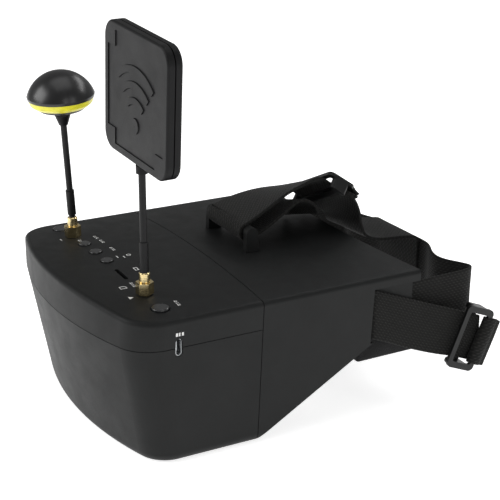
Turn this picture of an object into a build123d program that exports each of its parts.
from build123d import *
import math
import os

os.makedirs("parts", exist_ok=True)

# Box-style video goggles: a display unit in front, a face hood behind it.
# +X is the right side, +Y points to the wearer's face, +Z is up.
# The origin is the middle of the flat base of the display unit.

# ---------------------------------------------------------------- driving sizes
seam_y = 35.0            # joint plane between display unit and hood
base_half_width = 74.5   # half width at the base
edge_half_width = 80.5   # half width where the sides meet the top
edge_z = 81.0            # height of that edge
crown = 4.2              # how far the top bulges above it
parting_z = 66.0         # joint between the lower and the top shell
front_depth_base = 69.5  # front face ahead of the seam, at the base
front_depth_top = 82.0   # and at the parting line
front_radius = 218.0     # bulge of the front face in plan
corner_radius = 20.0     # vertical corners in plan
wall = 2.4
groove = 0.4             # the fine lines where the shells meet
hood_depth = 95.5        # hood behind the seam, at its sides
forehead_dip = 11.0      # hollow of its rear edge in plan
controls_y = seam_y - 50.0
antenna_x = 48.0         # sockets stand this far from the middle
big_button_x = 66.0
small_button_xs = (-31.0, -15.5, 0.0)
button_travel = 0.5
control_board_z = 71.5
board_thickness = 1.6
strap_thickness = 1.5
side_strap_width = 28.0
top_strap_width = 38.0

crown_radius = (edge_half_width**2 + crown**2) / (2 * crown)
side_slope = (edge_half_width - base_half_width) / edge_z


def half_width(z):
    """Half width of the casing at a height."""
    return base_half_width + side_slope * z


def top_z(x):
    """Height of the crowned top at a distance from the middle."""
    return edge_z + crown - crown_radius + math.sqrt(crown_radius**2 - x**2)


def finish(builder, name):
    """Names a finished piece and writes it."""
    builder.part.label = name
    export_step(builder.part, f"parts/{name}.step")


# ---------------------------------------------------------------- plan outlines
def plan_face(z, half, depth, corner, rear=seam_y):
    """Plan of the display unit at a height: straight sides, a bulging front, round corners."""
    sagitta = front_radius - math.sqrt(front_radius**2 - half**2)
    front = seam_y - depth
    with BuildSketch(Plane.XY.offset(z)) as plan:
        with BuildLine():
            Line((half, rear), (half, front + sagitta))
            ThreePointArc((half, front + sagitta), (0, front), (-half, front + sagitta))
            Line((-half, front + sagitta), (-half, rear))
            Line((-half, rear), (half, rear))
        make_face()
        fillet(plan.vertices().sort_by(Axis.Y)[:2], radius=corner)
    return plan.sketch


def crown_face(z_low, drop):
    """Cross-section under the crowned top, lowered by drop, behind everything."""
    reach = 100.0
    shoulder = top_z(reach) - drop
    with BuildSketch(Plane.XZ.offset(-seam_y - 150)) as section:
        with BuildLine():
            Line((-reach, shoulder), (-reach, z_low))
            Line((-reach, z_low), (reach, z_low))
            Line((reach, z_low), (reach, shoulder))
            ThreePointArc((reach, shoulder), (0, edge_z + crown - drop), (-reach, shoulder))
        make_face()
    return section.sketch


# ---------------------------------------------------------------- display unit: shells
screw_places = [(-62, seam_y - 24), (62, seam_y - 24), (-39, seam_y - 57), (39, seam_y - 57)]
screw_seat_z = 54.0
usb_y = seam_y - 46.5
usb_z = 66.0
card_x = 20.8
battery_y = seam_y - 40.0

inner_parting = half_width(parting_z) - wall
with BuildPart() as lower_shell:
    loft([
        plan_face(0, base_half_width, front_depth_base, corner_radius - 2),
        plan_face(parting_z, half_width(parting_z), front_depth_top, corner_radius),
    ])
    base_edges = lower_shell.faces().sort_by(Axis.Z)[0].edges()
    fillet(base_edges.sort_by(Axis.Y)[:-1], radius=6)
    loft([
        plan_face(wall, half_width(wall) - wall, front_depth_base - wall + 0.4, corner_radius - 4, seam_y + 1),
        plan_face(parting_z, inner_parting, front_depth_top - wall, corner_radius - wall, seam_y + 1),
    ], mode=Mode.SUBTRACT)
    # screw posts, open below for the driver
    with BuildSketch(Plane.XY.offset(wall)):
        with Locations(*screw_places):
            Circle(4.2)
    extrude(amount=parting_z - wall - 0.5)
    with BuildSketch(Plane.XY):
        with Locations(*screw_places):
            Circle(2.8)
    extrude(amount=screw_seat_z, mode=Mode.SUBTRACT)
    with BuildSketch(Plane.XY):
        with Locations(*screw_places):
            Circle(1.6)
    extrude(amount=parting_z, mode=Mode.SUBTRACT)
    # cradle ribs under the battery cells
    with BuildSketch(Plane.XY.offset(wall - 0.4)):
        with Locations(*[(x, battery_y) for x in (-50, -16, 16, 50)]):
            Rectangle(1.8, 17)
    extrude(amount=4.4)
    # half of the charging socket's opening
    with BuildSketch(Plane.YZ.offset(70)):
        with Locations((usb_y, usb_z)):
            SlotOverall(9.6, 3.8, rotation=90)
    extrude(amount=20, mode=Mode.SUBTRACT)
    # fine groove under the parting line
    groove_z = parting_z - groove
    with BuildSketch(Plane.XY.offset(groove_z)):
        Rectangle(400, 400)
        add(plan_face(0, half_width(parting_z) - groove, front_depth_top - groove, corner_radius, seam_y + 1),
            mode=Mode.SUBTRACT)
    extrude(amount=groove, mode=Mode.SUBTRACT)
finish(lower_shell, "lower_shell")

above_top = edge_z + 6
with BuildPart() as top_hollow:
    loft([
        plan_face(parting_z - 1, inner_parting, front_depth_top - wall, corner_radius - wall, seam_y + 1),
        plan_face(above_top, half_width(above_top) - wall, front_depth_top - wall, corner_radius - wall, seam_y + 1),
    ])
    extrude(crown_face(parting_z - 5, wall), amount=300, mode=Mode.INTERSECT)
    # room is left for the posts that take the shell screws
    with BuildSketch(Plane.XY.offset(parting_z + 0.5)):
        with Locations(*screw_places):
            Circle(4.2)
    extrude(amount=30, mode=Mode.SUBTRACT)

with BuildPart() as top_shell:
    loft([
        plan_face(parting_z, half_width(parting_z), front_depth_top, corner_radius),
        plan_face(above_top, half_width(above_top), front_depth_top, corner_radius),
    ])
    extrude(crown_face(parting_z - 5, 0), amount=300, mode=Mode.INTERSECT)
    top_edges = top_shell.faces().sort_by(Axis.Z)[-1].edges()
    fillet(top_edges.sort_by(Axis.Y)[:-1], radius=2.6)
    add(top_hollow.part, mode=Mode.SUBTRACT)
    with BuildSketch(Plane.XY.offset(parting_z)):
        with Locations(*screw_places):
            Circle(1.3)
    extrude(amount=12, mode=Mode.SUBTRACT)
    # button openings, antenna socket holes and the memory card slit
    with BuildSketch(Plane.XY.offset(edge_z - 6)):
        with Locations((-big_button_x, controls_y), (big_button_x, controls_y)):
            Circle(4.9)
        with Locations(*[(x, controls_y) for x in small_button_xs]):
            Circle(3.75)
        with Locations((-antenna_x, controls_y), (antenna_x, controls_y)):
            Circle(3.25)
        with Locations((card_x, controls_y - 0.8)):
            SlotOverall(14.5, 2.2)
    extrude(amount=20, mode=Mode.SUBTRACT)
    # other half of the charging socket's opening
    with BuildSketch(Plane.YZ.offset(70)):
        with Locations((usb_y, usb_z)):
            SlotOverall(9.6, 3.8, rotation=90)
    extrude(amount=20, mode=Mode.SUBTRACT)
finish(top_shell, "top_shell")

# ---------------------------------------------------------------- display unit: inside
bezel_y = seam_y - 6.0
lcd_width, lcd_height, lcd_depth = 121.0, 76.0, 4.0
lcd_z = 41.0


def section_face(y, inset, z_low, z_high):
    """Cross-section inside the casing at a distance along Y: tapered sides, crowned top."""
    low, high = half_width(z_low) - inset, half_width(z_high) - inset
    middle = edge_z + crown - inset if z_high > 70 else z_high
    with BuildSketch(Plane.XZ.offset(-y)) as section:
        with BuildLine():
            Polyline((high, z_high), (low, z_low), (-low, z_low), (-high, z_high))
            ThreePointArc((-high, z_high), (0, middle), (high, z_high))
        make_face()
        fillet(section.vertices().group_by(Axis.Y)[0], radius=6)
        fillet(section.vertices().group_by(Axis.Y)[-1], radius=2.6)
    return section.sketch


with BuildPart() as display_bezel:
    extrude(section_face(bezel_y, wall + 0.3, wall + 0.4, edge_z - wall - 0.6), amount=-2)
    with BuildSketch(Plane.XZ.offset(-bezel_y)):
        with Locations((0, lcd_z)):
            RectangleRounded(110, 64, 2)
    extrude(amount=-3, mode=Mode.SUBTRACT)
    # raised rim that locates the panel
    with BuildSketch(Plane.XZ.offset(-bezel_y)):
        with Locations((0, lcd_z)):
            Rectangle(lcd_width + 4, lcd_height - 0.6)
            Rectangle(lcd_width + 0.6, lcd_height + 4, mode=Mode.SUBTRACT)
    extrude(amount=3)
    # bosses for the main board
    with BuildSketch(Plane.XZ.offset(-bezel_y)):
        with Locations(*[(x, z) for x in (-66, 66) for z in (24, 58)]):
            Circle(3)
    extrude(amount=8)
finish(display_bezel, "display_bezel")

with BuildPart() as lcd_panel:
    with BuildSketch(Plane.XZ.offset(-bezel_y)):
        with Locations((0, lcd_z)):
            RectangleRounded(lcd_width, lcd_height - 4, 1)
    extrude(amount=lcd_depth)
finish(lcd_panel, "lcd_panel")

board_y = bezel_y - 8.0
with BuildPart() as main_board:
    with BuildSketch(Plane.XZ.offset(-board_y)):
        with Locations((0, lcd_z)):
            RectangleRounded(139, 50, 2)
        with Locations(*[(x, z) for x in (-66, 66) for z in (24, 58)]):
            Circle(1.3, mode=Mode.SUBTRACT)
    extrude(amount=board_thickness)
    # processor and connectors
    with BuildSketch(Plane.XZ.offset(-board_y + board_thickness)):
        with Locations((-8, 42)):
            Rectangle(16, 16)
        with Locations((22, 40), (22, 50)):
            Rectangle(9, 6)
        with Locations((-40, 26), (0, 22), (38, 24)):
            Rectangle(14, 5)
    extrude(amount=1.6)
finish(main_board, "main_board")

with BuildPart() as board_screws:
    with BuildSketch(Plane.XZ.offset(-board_y + board_thickness)):
        with Locations(*[(x, z) for x in (-66, 66) for z in (24, 58)]):
            Circle(2.2)
    extrude(amount=1.4)
    with BuildSketch(Plane.XZ.offset(-board_y + board_thickness)):
        with Locations(*[(x, z) for x in (-66, 66) for z in (24, 58)]):
            Circle(1.2)
    extrude(amount=-board_thickness)
finish(board_screws, "board_screws")

with BuildPart() as receiver_modules:
    with BuildSketch(Plane.XZ.offset(-board_y + board_thickness)):
        with Locations((-44, 46), (44, 46)):
            RectangleRounded(22, 26, 1)
    extrude(amount=4)
    fillet(receiver_modules.faces().sort_by(Axis.Y)[0].edges(), radius=0.5)
finish(receiver_modules, "receiver_modules")

cell_radius, cell_length = 9.2, 65.0
cell_z = wall + 4.0 + cell_radius
with BuildPart() as battery_cells:
    for start_x in (-cell_length - 0.4, 0.4):
        with BuildSketch(Plane.YZ.offset(start_x)):
            with Locations((battery_y, cell_z)):
                Circle(cell_radius)
        extrude(amount=cell_length)
finish(battery_cells, "battery_cells")

with BuildPart() as control_board:
    with BuildSketch(Plane.XY.offset(control_board_z)):
        with Locations((0, controls_y)):
            RectangleRounded(146, 18, 2)
        with Locations((-antenna_x, controls_y), (antenna_x, controls_y), *screw_places[2:]):
            Circle(4.7, mode=Mode.SUBTRACT)
    extrude(amount=board_thickness)
finish(control_board, "control_board")

switch_xs = (-big_button_x, *small_button_xs, big_button_x)
switch_top = control_board_z + board_thickness + 4.4
with BuildPart() as tact_switches:
    with BuildSketch(Plane.XY.offset(control_board_z + board_thickness)):
        with Locations(*[(x, controls_y) for x in switch_xs]):
            RectangleRounded(6, 6, 0.6)
    extrude(amount=3.4)
    with BuildSketch(Plane.XY.offset(control_board_z + board_thickness + 3.4)):
        with Locations(*[(x, controls_y) for x in switch_xs]):
            Circle(1.7)
    extrude(amount=1.0)
finish(tact_switches, "tact_switches")

with BuildPart() as usb_socket:
    with BuildSketch(Plane.YZ.offset(half_width(usb_z) - wall - 6)):
        with Locations((usb_y, usb_z)):
            SlotOverall(9.0, 3.2, rotation=90)
            SlotOverall(8.4, 2.6, rotation=90, mode=Mode.SUBTRACT)
    extrude(amount=7.6)
    with BuildSketch(Plane.YZ.offset(half_width(usb_z) - wall - 7)):
        with Locations((usb_y, usb_z)):
            SlotOverall(9.0, 3.2, rotation=90)
    extrude(amount=1)
    with BuildSketch(Plane.YZ.offset(half_width(usb_z) - wall - 6)):
        with Locations((usb_y, usb_z)):
            Rectangle(0.7, 6.6)
    extrude(amount=5)
finish(usb_socket, "usb_socket")

with BuildPart() as card_socket:
    with BuildSketch(Plane.XY.offset(control_board_z + board_thickness)):
        with Locations((card_x, controls_y - 0.8)):
            Rectangle(15.5, 3.6)
    extrude(amount=7.6)
    with BuildSketch(Plane.XY.offset(control_board_z + board_thickness + 1.5)):
        with Locations((card_x, controls_y - 0.8)):
            Rectangle(12.4, 1.6)
    extrude(amount=8, mode=Mode.SUBTRACT)
finish(card_socket, "card_socket")

with BuildPart() as shell_screws:
    with BuildSketch(Plane.XY.offset(screw_seat_z - 2)):
        with Locations(*screw_places):
            Circle(2.6)
    extrude(amount=2)
    with BuildSketch(Plane.XY.offset(screw_seat_z)):
        with Locations(*screw_places):
            Circle(1.3)
    extrude(amount=20)
    # cross recess in each head
    with BuildSketch(Plane.XY.offset(screw_seat_z - 2)):
        with Locations(*screw_places):
            Rectangle(3, 0.7)
            Rectangle(0.7, 3)
    extrude(amount=1.1, mode=Mode.SUBTRACT)
finish(shell_screws, "shell_screws")

# ---------------------------------------------------------------- antenna sockets
socket_floor = top_z(antenna_x)
thread_radius = 3.175
for side, x in (("left", -antenna_x), ("right", antenna_x)):
    with BuildPart() as antenna_socket:
        with BuildSketch(Plane.XY.offset(control_board_z + 0.2)):
            with Locations((x, controls_y)):
                Circle(2.6)
        extrude(amount=6)
        with BuildSketch(Plane.XY.offset(socket_floor - wall - 4.8)):
            with Locations((x, controls_y)):
                RegularPolygon(4.4, 6)
        extrude(amount=1.8)
        with BuildSketch(Plane.XY.offset(socket_floor - wall - 3.2)):
            with Locations((x, controls_y)):
                Circle(thread_radius)
        extrude(amount=wall + 3.2 + 5.0)
        # thread grooves and the bore for the centre pin
        for turn in range(5):
            with BuildSketch(Plane.XY.offset(socket_floor + 0.9 + 0.8 * turn)):
                with Locations((x, controls_y)):
                    Circle(thread_radius + 0.2)
                    Circle(thread_radius - 0.35, mode=Mode.SUBTRACT)
            extrude(amount=0.35, mode=Mode.SUBTRACT)
        with BuildSketch(Plane.XY.offset(socket_floor - 1)):
            with Locations((x, controls_y)):
                Circle(0.7)
        extrude(amount=8, mode=Mode.SUBTRACT)
    finish(antenna_socket, f"antenna_socket_{side}")

# ---------------------------------------------------------------- push buttons
buttons = [
    ("button_dvr", -big_button_x, 4.5),
    ("button_down", small_button_xs[0], 3.4),
    ("button_up", small_button_xs[1], 3.4),
    ("button_menu", small_button_xs[2], 3.4),
    ("button_search", big_button_x, 4.5),
]
for name, x, radius in buttons:
    face_z = top_z(x) + 0.9
    flange_z = top_z(x) - wall - 1.5
    with BuildPart() as button:
        with BuildSketch(Plane.XY.offset(flange_z)):
            with Locations((x, controls_y)):
                Circle(radius)
        extrude(amount=face_z - flange_z)
        fillet(button.faces().sort_by(Axis.Z)[-1].edges(), radius=0.7)
        with BuildSketch(Plane.XY.offset(flange_z)):
            with Locations((x, controls_y)):
                Circle(radius + 1.2)
        extrude(amount=0.9)
        with BuildSketch(Plane.XY.offset(flange_z)):
            with Locations((x, controls_y)):
                Circle(1.5)
        extrude(amount=-(flange_z - switch_top - button_travel - 0.1))
    finish(button, name)

# ---------------------------------------------------------------- face hood
side_profile = [(0, 0.6), (4, 4), (73, 46.5), (88, 46.5), (hood_depth, 58), (hood_depth, 90), (0, 90)]
forehead_radius = (edge_half_width**2 + forehead_dip**2) / (2 * forehead_dip)
forehead_y = seam_y + hood_depth - forehead_dip
floor_slope = (46.5 - 4) / (73 - 4)
floor_rise = wall * math.sqrt(1 + floor_slope**2)
pocket_depth, pocket_front, pocket_z = 4.0, 66.5, (43.5, 75.0)
pocket_x = half_width(60) - pocket_depth
bar_y, bar_z, bar_radius = 24.5, 95.0, 3.5
lens_y = seam_y + 26.0
floor_end = 62.0
lens_floor = 4 + floor_slope * 26 + floor_rise


def profile_prism(points, half=100):
    """A prism across the casing from a side outline, measured from the seam."""
    with BuildPart() as prism:
        with BuildSketch(Plane.YZ.offset(-half)):
            with BuildLine():
                Polyline(*[(seam_y + y, z) for y, z in points], close=True)
            make_face()
        extrude(amount=2 * half)
    return prism.part


hollow_profile = [(-1, 3), (0, 3), (4, 4 + floor_rise), (floor_end, 39.7 + floor_rise), (floor_end, 30), (130, 30), (130, 90), (-1, 90)]
with BuildPart() as hood_hollow:
    extrude(section_face(seam_y - 1, wall, wall, edge_z - wall), amount=-120)
    add(profile_prism(hollow_profile), mode=Mode.INTERSECT)
    # the wall stays behind each strap recess
    for side in (-1, 1):
        with BuildSketch(Plane.YZ.offset(side * (pocket_x - wall))):
            with Locations((seam_y + pocket_front - wall + 40, 40)):
                Rectangle(80, 2 * (pocket_z[1] + wall - 40))
        extrude(amount=side * 30, mode=Mode.SUBTRACT)

with BuildPart() as hood_shell:
    extrude(section_face(seam_y, 0, 0, edge_z), amount=-hood_depth)
    add(profile_prism(side_profile), mode=Mode.INTERSECT)
    # rear edge hollowed for the forehead
    with BuildSketch(Plane.XY):
        with Locations((0, forehead_y + forehead_radius)):
            Circle(forehead_radius)
    extrude(amount=100, mode=Mode.SUBTRACT)
    # recess in each side for the strap, then the hollow and the strap slots
    for side in (-1, 1):
        with BuildSketch(Plane.YZ.offset(side * pocket_x)):
            with Locations((seam_y + pocket_front + 30, (pocket_z[0] + pocket_z[1]) / 2)):
                Rectangle(60, pocket_z[1] - pocket_z[0])
        extrude(amount=side * 20, mode=Mode.SUBTRACT)
    add(hood_hollow.part, mode=Mode.SUBTRACT)
    # fine groove along the joint with the display unit
    with BuildSketch(Plane.XZ.offset(-seam_y)):
        Rectangle(400, 400)
        add(section_face(0, groove, groove, edge_z - groove), mode=Mode.SUBTRACT)
    extrude(amount=-groove, mode=Mode.SUBTRACT)
    # tongue that locates the hood inside the display unit
    extrude(section_face(seam_y + 6, wall - 0.4, wall + 4.5, edge_z - wall + 0.4), amount=5.8)
    extrude(section_face(seam_y + 6, wall + 0.25, wall + 4.8, edge_z - wall - 0.25), amount=9)
    extrude(section_face(seam_y + 6.1, wall + 1.9, wall + 6.5, edge_z - wall - 1.9), amount=10, mode=Mode.SUBTRACT)
    with BuildSketch(Plane.XZ.offset(-seam_y - 69.6)):
        with Locations((-pocket_x, 59), (pocket_x, 59)):
            Rectangle(8, 31)
    extrude(amount=3.1, mode=Mode.SUBTRACT)
    # room for the nose in the floor
    with BuildSketch(Plane.XY):
        with Locations((0, seam_y + 66)):
            SlotOverall(60, 40, rotation=90)
    extrude(amount=56, mode=Mode.SUBTRACT)
    # bar on top for the head strap, between two posts
    with BuildSketch(Plane.YZ.offset(-23.5)):
        with Locations((seam_y + bar_y, bar_z)):
            Circle(bar_radius)
    extrude(amount=47)
    for side in (-1, 1):
        with BuildSketch(Plane.YZ.offset(side * 20.2)):
            with BuildLine():
                Polyline(
                    (seam_y + bar_y - bar_radius, bar_z), (seam_y + 20.5, 84),
                    (seam_y + 29, 84), (seam_y + bar_y + bar_radius, bar_z),
                    close=True,
                )
            make_face()
            with Locations((seam_y + bar_y, bar_z)):
                Circle(bar_radius)
        extrude(amount=side * 3.6)
finish(hood_shell, "hood_shell")

with BuildPart() as lens_frame:
    extrude(section_face(lens_y, wall + 0.1, lens_floor, edge_z - wall - 0.1), amount=-3)
    with BuildSketch(Plane.XZ.offset(-lens_y)):
        with Locations((0, 50)):
            RectangleRounded(124, 50, 8)
        with Locations(*[(x, z) for x in (-69, 69) for z in (36, 66)]):
            Circle(1.0)
    extrude(amount=-3, mode=Mode.SUBTRACT)
    with BuildSketch(Plane.XZ.offset(-lens_y)):
        with Locations((0, 50)):
            RectangleRounded(131, 57, 10)
            RectangleRounded(128, 54, 9, mode=Mode.SUBTRACT)
    extrude(amount=2.6)
finish(lens_frame, "lens_frame")

with BuildPart() as fresnel_lens:
    with BuildSketch(Plane.XZ.offset(-lens_y)):
        with Locations((0, 50)):
            RectangleRounded(127.4, 53.4, 8.7)
    extrude(amount=2.4)
finish(fresnel_lens, "fresnel_lens")

with BuildPart() as lens_screws:
    with BuildSketch(Plane.XZ.offset(-lens_y)):
        with Locations(*[(x, z) for x in (-69, 69) for z in (36, 66)]):
            Circle(2.0)
    extrude(amount=1.3)
    with BuildSketch(Plane.XZ.offset(-lens_y - 3)):
        with Locations(*[(x, z) for x in (-69, 69) for z in (36, 66)]):
            Circle(1.0)
    extrude(amount=3)
finish(lens_screws, "lens_screws")

foam_reach = 9.0         # foam past the rear edge at the forehead
face_radius = 150.0
with BuildPart() as face_foam:
    with BuildSketch(Plane.XZ.offset(-seam_y - 63)):
        with BuildLine():
            Polyline((69, 74), (69, 28), (-69, 28), (-69, 74))
            ThreePointArc((-69, 74), (0, 80), (69, 74))
        make_face()
        with BuildLine():
            Polyline((54, 60), (51, 20), (-51, 20), (-54, 60))
            ThreePointArc((-54, 60), (0, 66), (54, 60))
        make_face(mode=Mode.SUBTRACT)
    extrude(amount=-44)
    # inside corners of the hood floor stay free, and the back follows the face
    with BuildSketch(Plane.XY):
        with Locations((0, forehead_y + foam_reach + face_radius)):
            Circle(face_radius)
    extrude(amount=100, mode=Mode.SUBTRACT)
    # the forehead part is only as deep as the cushion is thick
    with BuildSketch(Plane.YZ.offset(-100)):
        with Locations((seam_y + 63, 66)):
            Rectangle(28, 36)
    extrude(amount=200, mode=Mode.SUBTRACT)
finish(face_foam, "face_foam")

# ---------------------------------------------------------------- straps
tail_start, tail_end = (67.0, 73.8), (128.0, 50.0)   # upper edge of each side strap
tail_fall = (tail_start[1] - tail_end[1]) / (tail_end[0] - tail_start[0])
tail_plan = [(79.4, 138), (76.5, 97), (76.3, 68.1), (71.2, 68.1), (71.2, 74.0)]
band_z = 57.0            # middle of the head band behind the hood


def standing_strap(points, radii, z_low, z_high):
    """A strap standing on edge: its path in plan, measured from the seam, raised to a height."""
    with BuildPart() as strap:
        with BuildSketch(Plane.XY.offset(z_low)):
            with BuildLine():
                FilletPolyline(*[(x, seam_y + y) for x, y in points], radius=radii)
            trace(line_width=strap_thickness)
        extrude(amount=z_high - z_low)
    return strap.part


def tail_edge(y):
    """Height of a side strap's upper edge at a distance from the seam."""
    return tail_start[1] - tail_fall * (y - tail_start[0])


for side, sign in (("left", -1), ("right", 1)):
    tail_band = [(y, tail_edge(y)) for y in (60, 145)]
    tail_band += [(y, z - side_strap_width) for y, z in reversed(tail_band)]
    with BuildPart() as side_strap:
        add(standing_strap([(sign * x, y) for x, y in tail_plan], [60, 2.4, 2.4], 5, 95))
        add(profile_prism(tail_band), mode=Mode.INTERSECT)
    finish(side_strap, f"side_strap_{side}")

band_half = [(71.2, 74.3), (70.8, 100), (69, 141), (48, 131), (24, 139)]
band_path = band_half + [(-x, y) for x, y in reversed(band_half)]
with BuildPart() as head_band:
    add(standing_strap(
        band_path,
        [80, 4, 25, 30, 30, 25, 4, 80],
        band_z - side_strap_width / 2,
        band_z + side_strap_width / 2,
    ))
finish(head_band, "head_band")

loop_radius = bar_radius + strap_thickness / 2 + 0.35


def strap_sections(stations, width):
    """Cross-sections of a strap that rolls as it runs: middle, measured from the seam, and roll of each."""
    sections = []
    for i, (x, y, z, roll) in enumerate(stations):
        before, after = stations[max(i - 1, 0)], stations[min(i + 1, len(stations) - 1)]
        along = Vector(*after[:3]) - Vector(*before[:3]) if i else Vector(0, 1, 0)
        across = Vector(math.cos(math.radians(roll)), 0, math.sin(math.radians(roll)))
        along = (along - across * along.dot(across)).normalized()
        with BuildSketch(Plane((x, seam_y + y, z), x_dir=across, z_dir=along)) as section:
            Rectangle(width, strap_thickness)
        sections.append(section.sketch)
    return sections


# the strap lies straight for a stretch behind its ridge, where the slider sits
ridge_roll, ridge_dip, ridge_half = math.radians(25), math.radians(41), 11.0
ridge_middle = Vector(0, 82.0, 102.5)
ridge_across = Vector(math.cos(ridge_roll), 0, math.sin(ridge_roll))
ridge_run = Vector(0, math.cos(ridge_dip), -math.sin(ridge_dip))
ridge_run = (ridge_run - ridge_across * ridge_run.dot(ridge_across)).normalized()
ridge_start, ridge_end = ridge_middle - ridge_run * ridge_half, ridge_middle + ridge_run * ridge_half
upper_stations = [
    (0, bar_y, bar_z + loop_radius, 0), (-0.3, 36, 104, 4), (-0.9, 50, 108, 12), (-1.8, 62, 109.6, 18),
    (-2.5, 69, 109.8, 23), (*ridge_start, 25), (*ridge_end, 25), (2.6, 94.2, 91, 18), (1.6, 96.8, 84, 9),
    (0.6, 101, 79, 3), (0, 112, 76, 0), (0, 130, 74.4, 0), (0, 136, 72.6, 0), (0, 137.3, 68, 0), (0, 137.3, 50, 0),
]
lower_stations = [
    (0, bar_y, bar_z - loop_radius, 0), (0, 34, 93.6, 3), (0, 46, 98.2, 9), (0, 56, 101.4, 15),
    (0, 62, 101, 17), (0, 67, 97, 18), (0, 70, 92, 18),
]
with BuildPart() as top_strap:
    with BuildSketch(Plane.YZ.offset(-top_strap_width / 2)):
        with BuildLine():
            ThreePointArc(
                (seam_y + bar_y, bar_z + loop_radius),
                (seam_y + bar_y - loop_radius, bar_z),
                (seam_y + bar_y, bar_z - loop_radius),
            )
        trace(line_width=strap_thickness)
    extrude(amount=top_strap_width)
    loft(strap_sections(upper_stations, top_strap_width), ruled=True)
    loft(strap_sections(lower_stations, top_strap_width), ruled=True)
finish(top_strap, "top_strap")


# ---------------------------------------------------------------- strap sliders
def slider(plane, length, width, strap_width):
    """A three-bar slider: two bars outside the strap, one behind it, joined past its edges."""
    post = (width - strap_width) / 2 - 0.6
    with BuildPart() as body:
        with BuildSketch(plane.offset(2.9)):
            RectangleRounded(length, width, 3)
            RectangleRounded(length - 5.6, width - 2 * post, 1.2, mode=Mode.SUBTRACT)
        extrude(amount=2.0)
        for end in (-1, 1):
            with BuildSketch(plane.offset(-3.0)):
                with Locations((0, end * (width - post) / 2)):
                    RectangleRounded(length - 7, post, post / 2 - 0.1)
            extrude(amount=6.0)
        with BuildSketch(plane.offset(-3.0)):
            Rectangle(4, width - post)
        extrude(amount=1.8)
    return body.part


def strap_end(plane, length, strap_width):
    """The sewn end of a strap, looped round the slider's rear bar."""
    bar_middle = plane.offset(3.9)
    middle = bar_middle.origin + bar_middle.x_dir * (length / 2 - 1.4)
    with BuildPart() as loop:
        with BuildSketch(Plane(middle - plane.y_dir * (strap_width / 2), x_dir=plane.x_dir, z_dir=plane.y_dir)):
            RectangleRounded(5.8, 4.9, 2)
            Rectangle(3.0, 2.1, mode=Mode.SUBTRACT)
        extrude(amount=strap_width)
    return loop.part


slider_length, slider_width = 18.0, 36.5
slider_y = 129.0
tail_turn = math.atan2(79.4 - 76.5, 138 - 97)
tail_dip = math.atan(tail_fall)
for side, sign in (("left", -1), ("right", 1)):
    along = Vector(
        sign * math.sin(tail_turn) * math.cos(tail_dip),
        math.cos(tail_turn) * math.cos(tail_dip),
        -math.sin(tail_dip),
    )
    outward = Vector(sign * math.cos(tail_turn), -math.sin(tail_turn), 0)
    slider_x = 76.5 + (slider_y - 97) * math.tan(tail_turn)
    centre = Vector(sign * slider_x, seam_y + slider_y, tail_edge(slider_y) - side_strap_width / 2)
    tail_plane = Plane(centre, x_dir=along, z_dir=outward)
    with BuildPart() as side_slider:
        add(slider(tail_plane, slider_length, slider_width, side_strap_width))
    finish(side_slider, f"slider_{side}")
    with BuildPart() as side_strap_end:
        add(strap_end(tail_plane, slider_length, side_strap_width - 1))
    finish(side_strap_end, f"strap_end_{side}")

crown_place = ridge_middle - ridge_run + Vector(0, seam_y, 0)
crown_plane = Plane(crown_place, x_dir=ridge_run, z_dir=ridge_across.cross(ridge_run))
with BuildPart() as slider_top:
    add(slider(crown_plane, 17, 47, top_strap_width))
finish(slider_top, "slider_top")
with BuildPart() as strap_end_top:
    add(strap_end(crown_plane, 17, top_strap_width - 1))
finish(strap_end_top, "strap_end_top")

# ---------------------------------------------------------------- antennas: connectors
nut_base = socket_floor + 0.45
nut_height, nut_flats = 6.1, 8.0
web = 0.7
for antenna, x in (("mushroom", -antenna_x), ("panel", antenna_x)):
    with BuildPart() as nut:
        with BuildSketch(Plane.XY.offset(nut_base)):
            with Locations((x, controls_y)):
                RegularPolygon(nut_flats / 2, 6, major_radius=False)
        extrude(amount=nut_height)
        with BuildSketch(Plane.XY.offset(nut_base)):
            with Locations((x, controls_y)):
                Circle(3.25)
        extrude(amount=nut_height - web, mode=Mode.SUBTRACT)
        with BuildSketch(Plane.XY.offset(nut_base)):
            with Locations((x, controls_y)):
                Circle(2.4)
        extrude(amount=nut_height, mode=Mode.SUBTRACT)
    finish(nut, f"{antenna}_nut")
    plug_steps = [
        (socket_floor + 1.0, socket_floor + 5.1, 0.45),
        (socket_floor + 5.05, socket_floor + 5.75, 3.0),
        (socket_floor + 5.75, socket_floor + 6.8, 2.3),
        (socket_floor + 6.75, socket_floor + 11.6, 2.8),
    ]
    with BuildPart() as plug:
        for z_low, z_high, radius in plug_steps:
            with BuildSketch(Plane.XY.offset(z_low)):
                with Locations((x, controls_y)):
                    Circle(radius)
            extrude(amount=z_high - z_low)
        chamfer(plug.faces().sort_by(Axis.Z)[-1].edges(), length=0.5)
    finish(plug, f"{antenna}_plug")

# ---------------------------------------------------------------- panel antenna
stem_base = socket_floor + 11.6
panel_width, panel_height, panel_half_depth = 66.0, 65.0, 4.0
panel_z = 184.0
panel_lean, panel_turn = math.radians(4.0), math.radians(2.3)
panel_x = antenna_x + panel_height / 2 * math.sin(panel_lean)
panel_plane = Plane(
    (panel_x, controls_y, panel_z),
    x_dir=(
        math.cos(panel_lean) * math.cos(panel_turn),
        math.cos(panel_lean) * math.sin(panel_turn),
        -math.sin(panel_lean),
    ),
    z_dir=(math.sin(panel_turn), -math.cos(panel_turn), 0),
)
panel_foot = panel_z - panel_height / 2 + 0.1

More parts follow.
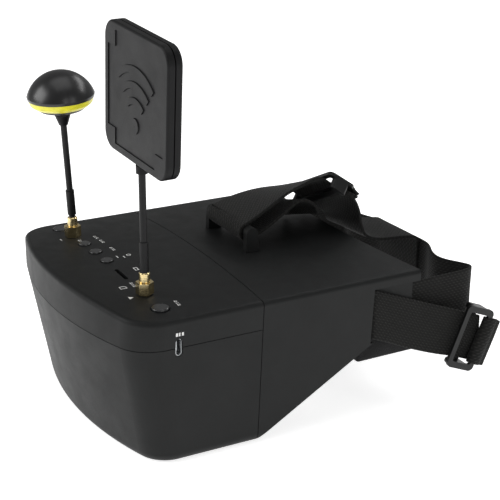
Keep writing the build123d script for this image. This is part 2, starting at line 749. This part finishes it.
with BuildPart() as panel_front_shell:
    with BuildSketch(panel_plane.offset(0.3)):
        RectangleRounded(panel_width, panel_height, 9)
    extrude(amount=panel_half_depth - 0.3)
    fillet(panel_front_shell.faces().sort_by(Axis.Y)[0].edges(), radius=1.2)
    with BuildSketch(panel_plane.offset(0.3)):
        RectangleRounded(panel_width - 3.6, panel_height - 3.6, 7.2)
    extrude(amount=panel_half_depth - 1.9, mode=Mode.SUBTRACT)
    # shallow recess in the face, stepped at its corners
    with BuildSketch(panel_plane.offset(panel_half_depth - 0.5)):
        Rectangle(panel_width - 8, panel_height - 24)
        Rectangle(panel_width - 24, panel_height - 8)
    extrude(amount=1, mode=Mode.SUBTRACT)
finish(panel_front_shell, "panel_front_shell")

with BuildPart() as panel_back_shell:
    with BuildSketch(panel_plane.offset(-0.3)):
        RectangleRounded(panel_width, panel_height, 9)
    extrude(amount=0.3 - panel_half_depth)
    fillet(panel_back_shell.faces().sort_by(Axis.Y)[-1].edges(), radius=1.2)
    with BuildSketch(panel_plane.offset(-0.3)):
        RectangleRounded(panel_width - 3.6, panel_height - 3.6, 7.2)
    extrude(amount=1.9 - panel_half_depth, mode=Mode.SUBTRACT)
    # rib that the two shells meet on, set in from the edge
    with BuildSketch(panel_plane.offset(-0.3)):
        RectangleRounded(panel_width - 1.8, panel_height - 1.8, 8.1)
        RectangleRounded(panel_width - 5, panel_height - 5, 6.5, mode=Mode.SUBTRACT)
    extrude(amount=0.6)
    # boss under the panel for the stem
    with BuildSketch(Plane.XY.offset(panel_foot - 5)):
        with Locations((antenna_x, controls_y)):
            Circle(3.0)
    extrude(amount=6)
    with BuildSketch(Plane.XY.offset(panel_foot - 5)):
        with Locations((antenna_x, controls_y)):
            Circle(1.83)
    extrude(amount=4.2, mode=Mode.SUBTRACT)
    with BuildSketch(panel_plane.offset(0.3)):
        Rectangle(panel_width - 6, panel_height - 3.6)
    extrude(amount=10, mode=Mode.SUBTRACT)
    with BuildSketch(panel_plane.offset(0.3)):
        Rectangle(panel_width - 20, panel_height + 2)
    extrude(amount=10, mode=Mode.SUBTRACT)
finish(panel_back_shell, "panel_back_shell")

with BuildPart() as patch_board:
    with BuildSketch(panel_plane.offset(-1.0)):
        RectangleRounded(56, 55, 3)
    extrude(amount=board_thickness)
    with BuildSketch(panel_plane.offset(-1.0 + board_thickness)):
        Rectangle(40, 40)
    extrude(amount=0.3)
finish(patch_board, "patch_board")

with BuildPart() as panel_stem:
    with BuildSketch(Plane.XY.offset(stem_base)):
        with Locations((antenna_x, controls_y)):
            Circle(1.8)
    extrude(amount=panel_foot - 0.8 - stem_base)
finish(panel_stem, "panel_stem")

with BuildPart() as panel_collar:
    with BuildSketch(Plane.XY.offset(stem_base)):
        with Locations((antenna_x, controls_y)):
            Circle(2.3)
            Circle(1.81, mode=Mode.SUBTRACT)
    extrude(amount=16)
finish(panel_collar, "panel_collar")

# ---------------------------------------------------------------- mushroom antenna
mushroom_axis = Vector(math.sin(math.radians(2.1)), -math.sin(math.radians(3.7)), 1).normalized()
mushroom_foot = Vector(-antenna_x, controls_y, stem_base)
mushroom_plane = Plane(mushroom_foot, x_dir=(1, 0, -mushroom_axis.X), z_dir=mushroom_axis)
mushroom_side = Plane(mushroom_foot, x_dir=mushroom_plane.x_dir, z_dir=-mushroom_plane.y_dir)
mushroom_spin = Axis(mushroom_foot, mushroom_side.y_dir)
shade_rise = 85.0 - stem_base    # the heights below count from just above the top shell


def turned(outline):
    """A piece turned about the leaning stem, from its radii and heights."""
    with BuildPart() as piece:
        with BuildSketch(mushroom_side):
            with BuildLine():
                Polyline(*[(radius, height + shade_rise) for radius, height in outline], close=True)
            make_face()
        revolve(axis=mushroom_spin)
    return piece.part


with BuildPart() as mushroom_stem:
    with BuildSketch(mushroom_plane.offset(0.3)):
        Circle(1.75)
    extrude(amount=66 + shade_rise + 2)
finish(mushroom_stem, "mushroom_stem")

with BuildPart() as mushroom_sleeve:
    add(turned([(1.76, 12), (2.35, 12), (2.35, 26), (1.76, 26)]))
finish(mushroom_sleeve, "mushroom_sleeve")

with BuildPart() as mushroom_collar:
    add(turned([(1.76, 64), (2.4, 64), (4.3, 69.5), (4.3, 71.5), (1.76, 71.5)]))
finish(mushroom_collar, "mushroom_collar")

with BuildPart() as mushroom_cap:
    add(turned([(1.76, 71.5), (6, 71.5), (12, 73), (14.8, 75), (14.8, 76.2), (12, 74.6), (6, 73.1), (1.76, 73.1)]))
finish(mushroom_cap, "mushroom_cap")

with BuildPart() as mushroom_ring:
    add(turned([(12.5, 76.3), (14.85, 76.3), (14.85, 75), (16.8, 76.6), (17.8, 79.5), (12.5, 79.5)]))
finish(mushroom_ring, "mushroom_ring")

dome_radius, dome_top = 19.2, 94.0 + shade_rise


def dome_point(radius, height):
    """The point of a ball inside the dome at a height: radius from the stem, and that height."""
    return (math.sqrt(radius**2 - (height - dome_top + dome_radius)**2), height)


with BuildPart() as mushroom_dome:
    with BuildSketch(mushroom_side):
        with BuildLine():
            Line((0, 79.5 + shade_rise), (17.9, 79.5 + shade_rise))
            Line((17.9, 79.5 + shade_rise), dome_point(dome_radius, 81 + shade_rise))
            ThreePointArc(
                dome_point(dome_radius, 81 + shade_rise),
                dome_point(dome_radius, 90 + shade_rise),
                (0, dome_top),
            )
            Line((0, dome_top), (0, 79.5 + shade_rise))
        make_face()
    revolve(axis=mushroom_spin)
    # hollow, and open below inside the ring
    with BuildSketch(mushroom_side):
        with BuildLine():
            Line((0, 81 + shade_rise), dome_point(dome_radius - 1.6, 81 + shade_rise))
            ThreePointArc(
                dome_point(dome_radius - 1.6, 81 + shade_rise),
                dome_point(dome_radius - 1.6, 89 + shade_rise),
                (0, dome_top - 1.6),
            )
            Line((0, dome_top - 1.6), (0, 81 + shade_rise))
        make_face()
    revolve(axis=mushroom_spin, mode=Mode.SUBTRACT)
    with BuildSketch(mushroom_plane.offset(79.5 + shade_rise)):
        Circle(12.5)
    extrude(amount=2, mode=Mode.SUBTRACT)
finish(mushroom_dome, "mushroom_dome")

with BuildPart() as mushroom_element:
    with BuildSketch(mushroom_plane.offset(75 + shade_rise)):
        Circle(10)
        Circle(1.0, mode=Mode.SUBTRACT)
    extrude(amount=0.8)
    with BuildSketch(mushroom_plane.offset(73.1 + shade_rise)):
        Circle(1.4)
    extrude(amount=12)
    # three upright lobes
    with BuildSketch(mushroom_plane.offset(75.8 + shade_rise)):
        with PolarLocations(5.5, 3):
            Rectangle(9, 0.7)
    extrude(amount=9)
finish(mushroom_element, "mushroom_element")
